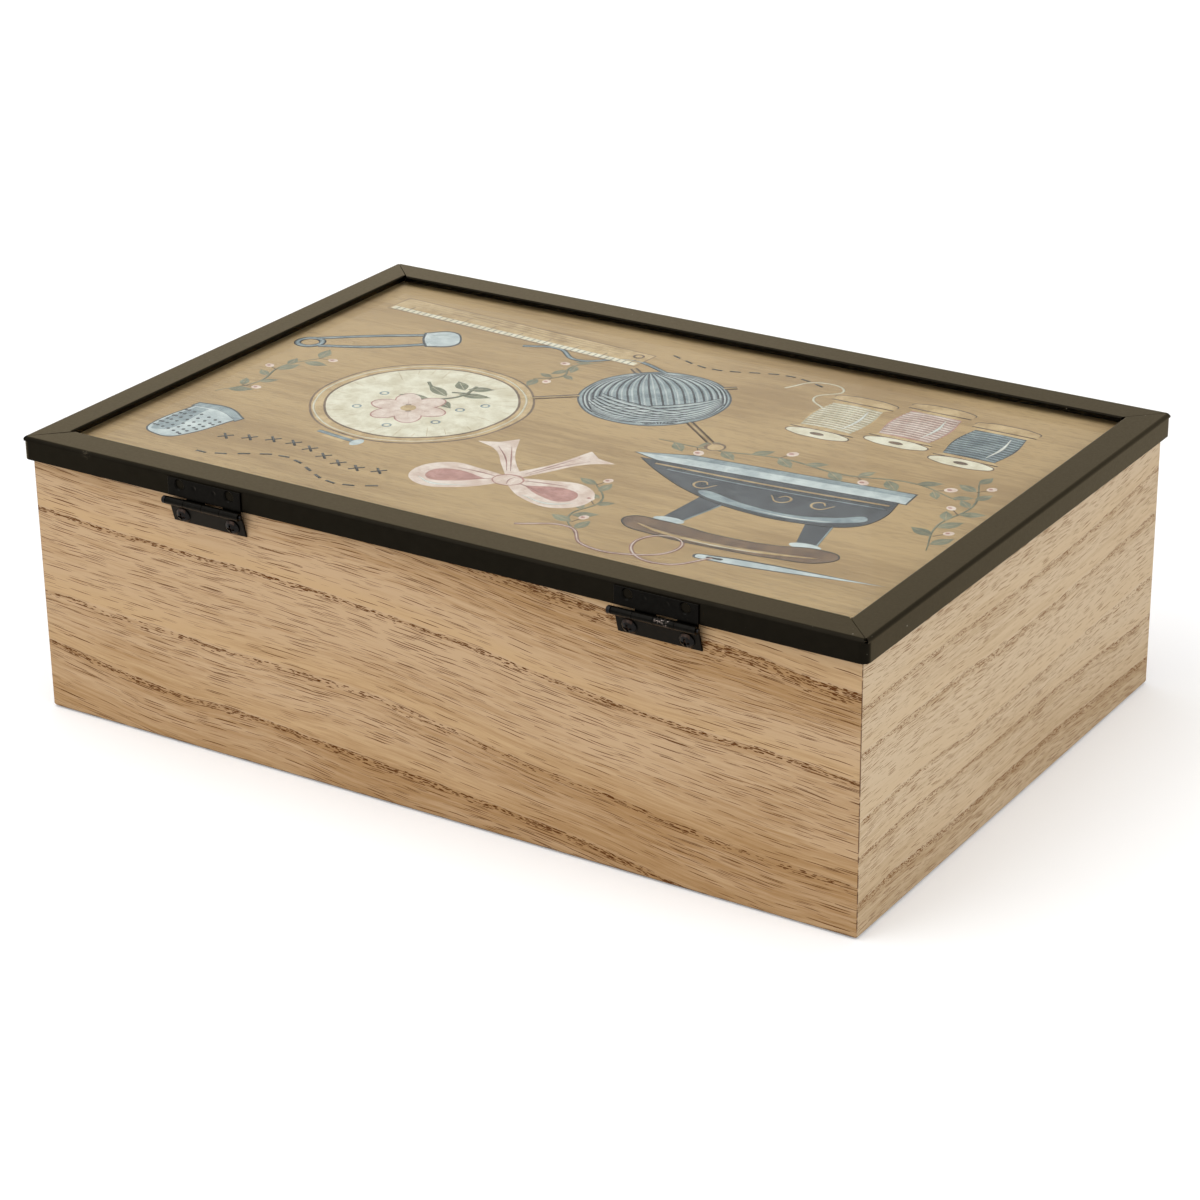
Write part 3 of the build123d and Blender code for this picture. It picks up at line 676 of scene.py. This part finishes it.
class Motif:
    """One printed figure, drawn film by film round its place on the board."""

    def __init__(self, name, at, turn=0.0, size=1.0):
        self.name, self.at, self.turn, self.size = name, at, math.radians(turn), size
        self.films = []

    def spot(self, x, y):
        """A point of the motif on the board, in metres."""
        cos, sin = self.size * math.cos(self.turn), self.size * math.sin(self.turn)
        return (self.at[0] + cos * x - sin * y) * MM, (self.at[1] + sin * x + cos * y) * MM

    def top(self, layer):
        """How high a film's top lies. Films of one layer differ by hairs, so that none share a face."""
        return FIRST_FILM + layer * FILM_STEP + len(self.films) % HAIRS * HAIR

    def path(self, paint, points, closed):
        """A curve through the points; it is rounded at each, apart from those marked as corners."""
        curve = bpy.data.curves.new(self.name, "CURVE")
        spline = curve.splines.new("BEZIER")
        spline.bezier_points.add(len(points) - 1)
        for knot, point in zip(spline.bezier_points, points):
            knot.co = (*self.spot(*point[:2]), 0)
            knot.handle_left_type = knot.handle_right_type = "VECTOR" if CORNER in point else "AUTO"
        spline.use_cyclic_u = closed
        curve.resolution_u = CURVE_STEPS
        curve.materials.append(PAINT[paint])
        film = bpy.data.objects.new(self.name, curve)
        bpy.context.collection.objects.link(film)
        self.films.append(film)
        return film, curve

    def fill(self, layer, paint, points):
        """A filled shape, from just inside the board up to its layer."""
        top = self.top(layer)
        film, curve = self.path(paint, points, True)
        curve.dimensions = "2D"
        curve.fill_mode = "BOTH"
        curve.extrude = (top + SUNK) / 2
        film.location.z = BOARD_TOP + (top - SUNK) / 2

    def disc(self, layer, paint, x, y, wide, high=None, turn=0.0):
        """A filled circle, or an oval turned about its middle."""
        high = wide if high is None else high
        cos, sin = math.cos(math.radians(turn)), math.sin(math.radians(turn))
        ring = []
        for step in range(8):
            a, b = wide * math.cos(step * math.pi / 4), high * math.sin(step * math.pi / 4)
            ring.append((x + cos * a - sin * b, y + sin * a + cos * b))
        self.fill(layer, paint, ring)

    def line(self, layer, paint, points, width, closed=False, taper=1.0, straight=False):
        """A drawn line: a fine tube, pressed flat."""
        if straight:
            points = [(*point[:2], CORNER) for point in points]
        top = self.top(layer)
        film, curve = self.path(paint, points, closed)
        curve.dimensions = "3D"
        curve.bevel_depth = 0.5 * width * self.size * MM
        curve.bevel_resolution = 0
        curve.use_fill_caps = not closed
        if straight:
            curve.resolution_u = 1
        knots = curve.splines[0].bezier_points
        for place, knot in enumerate(knots):
            along = abs(2 * place / (len(knots) - 1) - 1)
            knot.radius = 1 + (taper - 1) * along ** 2
        film.scale.z = LINE_THICK / curve.bevel_depth
        film.location.z = BOARD_TOP + top - 0.5 * LINE_THICK

    def ring(self, layer, paint, x, y, wide, high, width):
        """An oval outline."""
        points = []
        for step in range(12):
            angle = step * math.pi / 6
            points.append((x + wide * math.cos(angle), y + high * math.sin(angle)))
        self.line(layer, paint, points, width, closed=True)

    def leaf(self, layer, paint, x, y, length, width, angle, vein):
        """A pointed leaf that starts at x, y, with a vein of another paint."""
        cos, sin = math.cos(math.radians(angle)), math.sin(math.radians(angle))
        side = 0.5 * width
        middle = 0.45 * length
        points = [(x, y, CORNER), (x + cos * middle - sin * side, y + sin * middle + cos * side),
                  (x + cos * length, y + sin * length, CORNER),
                  (x + cos * middle + sin * side, y + sin * middle - cos * side)]
        self.fill(layer, paint, points)
        tip = (x + cos * 0.8 * length, y + sin * 0.8 * length)
        self.line(layer + 1, vein, [(x, y), tip], 0.3, taper=0.4)

    def sprig(self, layer, points, leaves, length, width, chance):
        """A stem with leaves on both sides, and buds between some of them."""
        self.line(layer, "leaf", points, 0.7, taper=0.5)
        for number in range(leaves):
            share = (number + 0.7) / leaves * (len(points) - 1)
            start = min(int(share), len(points) - 2)
            (x0, y0), (x1, y1) = points[start], points[start + 1]
            part = share - start
            x, y = x0 + part * (x1 - x0), y0 + part * (y1 - y0)
            heading = math.degrees(math.atan2(y1 - y0, x1 - x0))
            side = 1 if number % 2 else -1
            angle = heading + side * chance.uniform(32, 58)
            grown = chance.uniform(0.75, 1.1)
            self.leaf(layer, "leaf", x, y, length * grown, width * grown, angle, "ochre")
            if number % 3 == 1:
                bud = heading - side * 55
                bx = x + 0.6 * length * math.cos(math.radians(bud))
                by = y + 0.6 * length * math.sin(math.radians(bud))
                self.line(layer, "walnut", [(x, y), (bx, by)], 0.35)
                self.disc(layer + 1, "blush", bx, by, 1.5, 1.2, bud)
                self.disc(layer + 2, "rose", bx + 0.3, by, 0.6, 0.5)

    def stitches(self, layer, paint, points, length, width):
        """Running stitches, one from each point towards the next."""
        for (x0, y0), (x1, y1) in zip(points, points[1:]):
            reach = math.hypot(x1 - x0, y1 - y0)
            part = length / reach
            end = (x0 + part * (x1 - x0), y0 + part * (y1 - y0))
            self.line(layer, paint, [(x0, y0), end], width, straight=True)

    def done(self):
        """Joins the films to one piece of the lid, with its place in its mesh."""
        bpy.ops.object.select_all(action="DESELECT")
        for film in self.films:
            film.select_set(True)
        bpy.context.view_layer.objects.active = self.films[0]
        bpy.ops.object.convert(target="MESH")
        bpy.ops.object.transform_apply(location=True, rotation=True, scale=True)
        bpy.ops.object.join()
        bpy.ops.object.mode_set(mode="EDIT")
        bpy.ops.mesh.select_all(action="SELECT")
        bpy.ops.mesh.remove_doubles(threshold=WELD)
        bpy.ops.mesh.normals_make_consistent(inside=False)
        bpy.ops.object.mode_set(mode="OBJECT")
        piece = bpy.context.object
        piece.name = self.name
        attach(piece, "lid")
        bpy.ops.object.select_all(action="DESELECT")


def flat_iron():
    """An old solid iron with a wooden handle."""
    m = Motif("print_flat_iron", (-61, 19), 5, 1.2)
    sole = sharp((-29, -18), (24, -18), (37, -14.6), (30, -12), (-29, -12))
    body = [(-27.5, -12, CORNER), (-27.5, -2), (-24, 4.4), (-14, 7.4), (2, 6.6), (15, 2.0), (26, -5),
            (34.5, -12, CORNER)]
    m.fill(0, "ink", [(x * 1.015, -15 + (y + 15) * 1.12, mark) for x, y, mark in sole])
    m.fill(1, "pale_steel", sole)
    m.fill(2, "steel", sharp((-29, -18), (24, -18), (37, -14.6), (22, -15.6), (-29, -15.8)))
    for post in (sharp((-20, 5), (-21.5, 19), (-17, 19), (-14, 6.5)),
                 sharp((6, 5), (10.5, 19), (15, 18.4), (12.5, 3))):
        m.fill(0, "charcoal", post)
        m.line(1, "steel", [post[0][:2], post[1][:2]], 0.9, taper=0.5)
    m.fill(1, "charcoal", body)
    m.fill(2, "steel", [(-25, -1), (-20, 4.0), (-11, 6.1), (2, 5.2), (14, 1.1), (14, -0.2), (1, 3.2),
                        (-11, 4.0), (-19, 1.4)])
    m.line(3, "chalk", [(-19, 4.1), (-11, 5.6), (-1, 5.1)], 0.5, taper=0.2)
    m.line(2, "ochre", [(-26.4, -9.6), (0, -9.2), (30, -10.2)], 0.8)
    m.line(2, "steel", [(-26.2, -7.4), (0, -7.0), (26, -8.0)], 0.4)
    for x, flip in ((-16, 1), (-1, -1), (12, 1)):
        curl = [(x, -4.2), (x + 3 * flip, -1.2), (x + 5 * flip, -3.4), (x + 3.2 * flip, -5.0),
                (x + 2.0 * flip, -3.6)]
        m.line(2, "ochre", curl, 0.6, taper=0.5)
    m.disc(2, "pale_steel", -19.2, 18.6, 3.6, 1.5)
    m.disc(2, "pale_steel", 12.8, 18.0, 3.6, 1.5)
    handle = [(-28, 21), (-26, 25.0), (-16, 27.2), (-2, 27.6), (12, 26.6), (21, 23.6), (21.5, 20.0),
              (14, 19.0), (0, 21.2), (-13, 21.0), (-23, 19.0)]
    m.fill(3, "walnut", handle)
    m.line(4, "ochre", [(-24, 23.6), (-13, 25.4), (0, 25.9), (12, 24.6), (18, 22.4)], 1.6, taper=0.3)
    m.line(5, "cream", [(-13, 26.1), (-2, 26.5), (6, 26.1)], 0.6, taper=0.2)
    m.line(4, "ink", handle, 0.4, closed=True)
    m.line(3, "ink", body, 0.45, closed=True)
    stem = [(36, -24), (22, -23), (6, -25), (-10, -22), (-26, -24), (-38, -19)]
    m.sprig(0, stem, 12, 6.5, 3.0, random.Random(11))
    m.done()


def embroidery_hoop():
    """Cloth in a wooden hoop with a stitched flower."""
    m = Motif("print_embroidery_hoop", (56, 4), -8, 1.12)
    m.fill(0, "ochre", sharp((-3.4, 25), (-3.4, 32), (3.4, 32), (3.4, 25)))
    m.line(1, "steel", [(-6, 30), (6.5, 30)], 1.5, straight=True)
    m.disc(2, "pale_steel", -6.4, 30, 1.4, 2.2)
    m.disc(0, "walnut", 0, 0, 28.2)
    m.disc(1, "ochre", 0, 0, 27.6)
    m.ring(2, "cream", 0.2, 0.5, 26.4, 26.4, 0.5)
    m.disc(2, "walnut", 0, 0, 24.6)
    m.disc(3, "cream", 0, 0, 24.0)
    for number in range(26):
        angle = math.radians(number * 360 / 26 + 5 * math.sin(number))
        inner = 19.5 + 2.0 * math.sin(number * 2.3)
        m.line(4, "ochre", [(23.6 * math.cos(angle), 23.6 * math.sin(angle)),
                            (inner * math.cos(angle + 0.03), inner * math.sin(angle + 0.03))],
               0.3, taper=0.4)
    for start, end, bend in (((0, -2), (-3, -17), -3), ((-1, -10), (-10, -13), 1.5),
                             ((-1, -8), (9, -12), 2)):
        middle = ((start[0] + end[0]) / 2 + bend, (start[1] + end[1]) / 2)
        m.line(4, "leaf", [start, middle, end], 0.9)
    for x, y, angle, length in ((-3, -10, 200, 9), (-2, -7, -20, 10), (-2.5, -14, 215, 7),
                                (-2.5, -13, -35, 7), (-1, -4, 160, 8), (0, -3, 15, 9)):
        m.leaf(4, "leaf", x, y, length, 3.4, angle, "cream")
    for number in range(6):
        angle = 60 * number + 12
        x, y = 5.6 * math.cos(math.radians(angle)), 5 + 5.6 * math.sin(math.radians(angle))
        m.disc(4, "rose", x, y, 4.9, 3.5, angle)
        m.disc(5, "blush", x, y, 4.5, 3.1, angle)
        m.line(6, "rose", [(0.5 * x, 5 + 0.5 * (y - 5)), (1.1 * x, 5 + 1.1 * (y - 5))], 0.35, taper=0.2)
    m.disc(5, "walnut", 0, 5, 2.5)
    m.disc(6, "ochre", 0, 5, 2.0)
    for x, y in ((-12, 8), (12, 1), (-11, -2), (11, 12), (-4, 17), (-14, -8)):
        m.ring(4, "steel", x, y, 1.0, 1.0, 0.5)
    m.done()


def yarn_ball():
    """A ball of wool with two wooden needles."""
    m = Motif("print_yarn_ball", (2, -32), 0, 1.12)
    for start, end in (((-30, 21), (16, -16)), ((31, 19), (-14, -17))):
        m.line(0, "walnut", [start, end], 2.1, straight=True)
        m.line(1, "ochre", [start, end], 1.0, straight=True)
        m.disc(1, "walnut", *start, 2.7)
        m.disc(2, "ochre", start[0] - 0.3, start[1] + 0.3, 2.0)
    loose_end = [(6, -17), (20, -21), (32, -14), (41, -19), (50, -16)]
    m.line(0, "charcoal", loose_end, 1.5)
    m.line(1, "steel", loose_end, 1.0)
    m.disc(1, "charcoal", 0, 0, 19.2)
    m.disc(2, "steel", 0, 0, 18.7)

    def strands(layer, paint, turn, lowest, highest, step, reach, width):
        """Strands round the ball like lines on a globe; the angles are in degrees."""
        cos, sin = math.cos(math.radians(turn)), math.sin(math.radians(turn))
        for around in range(lowest, highest, step):
            bulge = 18.4 * math.sin(math.radians(around))
            points = []
            for rise in (-reach, -reach / 2, 0, reach / 2, reach):
                x, y = bulge * math.cos(math.radians(rise)), 18.4 * math.sin(math.radians(rise))
                points.append((cos * x - sin * y, sin * x + cos * y))
            m.line(layer, paint, points, width, taper=0.6)

    strands(3, "charcoal", 35, -78, 80, 9, 80, 0.55)
    strands(3, "pale_steel", 35, -73, 80, 9, 74, 0.6)
    strands(4, "pale_steel", -52, -62, -16, 7, 62, 1.35)
    strands(5, "charcoal", -52, -66, -12, 7, 66, 0.4)
    strands(5, "pale_steel", 88, 22, 52, 7, 42, 1.3)
    strands(6, "charcoal", 88, 18, 56, 7, 46, 0.4)
    m.done()


def thread_spools():
    """Three wooden spools of thread."""
    m = Motif("print_thread_spools", (-72, -46), 0, 1.2)
    for x, y, thread, shade in ((-18, 0, "steel", "charcoal"), (0, -3.5, "blush", "rose"),
                                (18, 0.5, "cream", "ochre")):
        for side in (-1, 1):
            rim = y + 12 * side
            m.fill(1, "ochre", sharp((x - 8, rim), (x - 8, y + 9.6 * side), (x - 6, y + 8 * side),
                                     (x + 6, y + 8 * side), (x + 8, y + 9.6 * side), (x + 8, rim)))
            m.line(2, "walnut", [(x - 8, y + 9.8 * side), (x + 8, y + 9.8 * side)], 0.5, straight=True)
        m.disc(0, "walnut", x, y - 12, 8.3, 2.3)
        m.disc(1, "ochre", x, y - 11.8, 8.0, 2.0)
        m.disc(3, "walnut", x, y + 12, 8.2, 2.5)
        m.disc(4, "cream", x, y + 12.1, 7.8, 2.2)
        m.disc(5, "walnut", x, y + 12.1, 1.8, 0.8)
        m.fill(2, shade, [(x - 6.4, y + 8.2, CORNER), (x - 7.6, y), (x - 6.4, y - 8.2, CORNER),
                          (x + 6.4, y - 8.2, CORNER), (x + 7.6, y), (x + 6.4, y + 8.2, CORNER)])
        for turn in range(12):
            rise = y - 7.3 + 1.33 * turn
            half = 6.3 + 0.9 * (1 - ((rise - y) / 8) ** 2)
            m.line(3, thread, [(x - half, rise + 0.25), (x, rise - 0.35), (x + half, rise + 0.25)], 1.05)
        m.line(4, "chalk", [(x - 3.4, y + 6.5), (x - 4.2, y), (x - 3.4, y - 6.5)], 0.9, taper=0.2)
    m.line(2, "cream", [(24, -2), (30, -8), (26, -15), (34, -17), (39, -10)], 0.6)
    m.done()


def wooden_ruler():
    """A ruler with plain ticks."""
    m = Motif("print_wooden_ruler", (66, -60), -4, 1.0)
    edge = sharp((-46, -5.5), (46, -5.5), (46, 5.5), (-46, 5.5))
    m.fill(0, "walnut", edge)
    m.fill(1, "ochre", [(x * 0.993, y * 0.93, mark) for x, y, mark in edge])
    m.fill(2, "cream", sharp((-45, 2.6), (45, 2.6), (45, 4.9), (-45, 4.9)))
    for tick in range(43):
        reach = 4.4 if tick % 5 == 0 else 2.4
        x = -43 + 2.05 * tick
        m.line(3, "ink", [(x, 5.0), (x, 5.0 - reach)], 0.28, straight=True)
    m.ring(2, "walnut", -42, -2.2, 1.4, 1.4, 0.7)
    for y in (-0.8, -2.6, -4.0):
        m.line(2, "walnut", [(-38, y), (-10, y + 0.4), (18, y - 0.3), (44, y + 0.2)], 0.22, taper=0.3)
    m.done()


def ribbon_bow():
    """A bow whose halves mirror each other."""
    m = Motif("print_ribbon_bow", (3, 40), 6, 1.15)
    for side in (-1, 1):
        tail = [(-1, -1, CORNER), (-6, -8), (-12, -16), (-18, -19, CORNER), (-13, -20.5, CORNER),
                (-9.5, -24, CORNER), (-5, -13), (2, -3, CORNER)]
        loop = [(0, 1.5, CORNER), (-8, 8.5), (-18, 10.5), (-23, 4), (-18, -4), (-8, -3.4),
                (0, -1.5, CORNER)]
        inner = [(-5, 1.5, CORNER), (-11, 5.6), (-17.5, 6.6), (-19, 2.2), (-15, -0.6)]
        for layer, paint, points in ((0, "blush", tail), (1, "blush", loop), (2, "rose", inner)):
            m.fill(layer, paint, [(side * p[0], *p[1:]) for p in points])
        folds = (([(-2, 0.6), (-7, 2.2), (-11, 4.4)], 0.5), ([(-2, -0.6), (-8, -1.6), (-14, -2)], 0.5),
                 ([(-3, -5), (-7, -12), (-12, -18)], 0.4), ([(-2, -5), (-5, -11), (-9, -19)], 0.4))
        for points, width in folds:
            m.line(3, "rose", [(side * x, y) for x, y in points], width, taper=0.3)
        m.line(3, "chalk", [(side * -7, 6.8), (side * -15, 9.0), (side * -20, 6.5)], 0.9, taper=0.2)
    m.disc(3, "rose", 0, 0, 3.9, 3.3)
    m.disc(4, "blush", 0, 0.2, 3.5, 2.9)
    m.line(5, "rose", [(-0.8, 2.4), (-0.2, 0), (-0.8, -2.2)], 0.4, taper=0.3)
    m.done()


def thimble():
    """A thimble with rows of dimples over a rolled rim."""
    m = Motif("print_thimble", (103, 50), -12, 1.25)
    m.fill(0, "charcoal", [(-7.6, -7.4, CORNER), (0, -9.3), (7.6, -7.4, CORNER), (7.8, -10.2, CORNER),
                           (0, -12.6), (-7.8, -10.2, CORNER)])
    m.fill(1, "steel", [(-7.2, -7.8, CORNER), (0, -9.6), (7.2, -7.8, CORNER), (7.4, -9.9, CORNER),
                        (0, -12.1), (-7.4, -9.9, CORNER)])
    m.fill(1, "charcoal", [(-7.0, -8, CORNER), (-5.6, 5), (-3.8, 8.3), (0, 9.2), (3.8, 8.3), (5.6, 5),
                           (7.0, -8, CORNER), (0, -9.7)])
    m.fill(2, "pale_steel", [(-6.6, -8, CORNER), (-5.2, 5), (-3.5, 8), (0, 8.8), (3.5, 8), (5.2, 5),
                             (6.6, -8, CORNER), (0, -9.6)])
    m.fill(3, "steel", [(2.2, 7.5), (4.4, 5), (5.9, -7.6, CORNER), (2.6, -8.6, CORNER)])
    for row in range(6):
        for column in range(-3, 4):
            y = 5.6 - 2.1 * row
            half = 4.6 + 0.32 * row
            x = half * math.sin(column * 0.42 + 0.21 * (row % 2))
            m.disc(4, "charcoal", x, y - 0.5 * math.cos(column * 0.42), 0.42)
    m.done()


def safety_pin():
    """A closed safety pin: two wires, the coil and the cap."""
    m = Motif("print_safety_pin", (98, -31), 35, 1.15)
    for layer, paint, width in ((0, "charcoal", 1.9), (1, "steel", 1.2)):
        m.line(layer, paint, [(-15, -3.4), (0, -3.9), (14, -3.4)], width)
        m.line(layer, paint, [(-15, 3.4), (0, 4.4), (14, 2.4)], width)
        m.ring(layer, paint, 16.2, -0.6, 3.2, 3.0, width)
    m.fill(2, "charcoal", [(-20.5, -5.4), (-13, -5.4, CORNER), (-12.4, 0), (-13, 5.4, CORNER),
                           (-20.5, 5.4), (-22.5, 0)])
    m.fill(3, "pale_steel", [(-20.2, -4.8), (-13.6, -4.8, CORNER), (-13.0, 0), (-13.6, 4.8, CORNER),
                             (-20.2, 4.8), (-22.0, 0)])
    m.line(4, "steel", [(-19, -3), (-15, -3.2)], 0.8, taper=0.4)
    m.done()


def needle_and_thread():
    """A needle with a looped rose thread."""
    m = Motif("print_needle_and_thread", (-88, 55), 8, 1.15)
    m.fill(0, "charcoal", [(-24, 0, CORNER), (16, 1.5), (20.6, 0), (16, -1.5)])
    m.fill(1, "pale_steel", [(-23, 0.1, CORNER), (16, 1.1), (20.0, 0), (16, -1.0)])
    m.fill(2, "ink", [(13.5, 0), (15.5, 0.45), (17.5, 0), (15.5, -0.45)])
    loops = [(16, 0), (24, 7), (33, 4), (34, -5), (27, -7), (25, -1), (33, 5), (45, 4), (52, -4),
             (64, -1)]
    m.line(3, "rose", loops, 0.9)
    m.line(4, "blush", loops, 0.35)
    m.done()


def stitched_border():
    """Running stitches and crosses along two bows."""
    m = Motif("print_stitched_border", (0, 0))
    wave = [(30 + 5.4 * n, 61 + 4.5 * math.sin(0.75 * n)) for n in range(12)]
    m.stitches(0, "ink", wave, 3.4, 0.9)
    for number in range(9):
        x, y = 36 + 6.4 * number, 50.5 + 3.2 * math.sin(0.8 * number + 0.6)
        m.line(0, "ink", [(x - 1.6, y - 1.6), (x + 1.6, y + 1.6)], 0.75, straight=True)
        m.line(1, "ink", [(x - 1.6, y + 1.6), (x + 1.6, y - 1.6)], 0.75, straight=True)
    low = [(-34 + 5.2 * n, -64 - 3.2 * math.sin(0.7 * n)) for n in range(11)]
    m.stitches(0, "ink", low, 3.2, 0.8)
    m.done()


def leaf_sprigs():
    """Sprigs of leaves and buds between the larger motifs."""
    m = Motif("print_leaf_sprigs", (0, 0))
    chance = random.Random(5)
    m.sprig(0, [(-113, 26), (-108, 10), (-110, -6), (-104, -22)], 9, 7.5, 3.6, chance)
    m.sprig(0, [(112, 26), (106, 14), (108, 0), (102, -12)], 8, 7.5, 3.4, chance)
    m.sprig(0, [(-32, 62), (-24, 52), (-26, 40), (-18, 30)], 8, 7.0, 3.2, chance)
    m.sprig(0, [(30, -50), (36, -42), (34, -34), (40, -28)], 6, 6.5, 3.0, chance)
    m.done()


def draw_the_print():
    """Draws every motif; each becomes one piece that rides on the lid."""
    for motif in (flat_iron, embroidery_hoop, yarn_ball, thread_spools, wooden_ruler, ribbon_bow,
                  thimble, safety_pin, needle_and_thread, stitched_border, leaf_sprigs):
        motif()


dress_the_frame()
draw_the_print()
put_camera()
put_floor()
put_light()
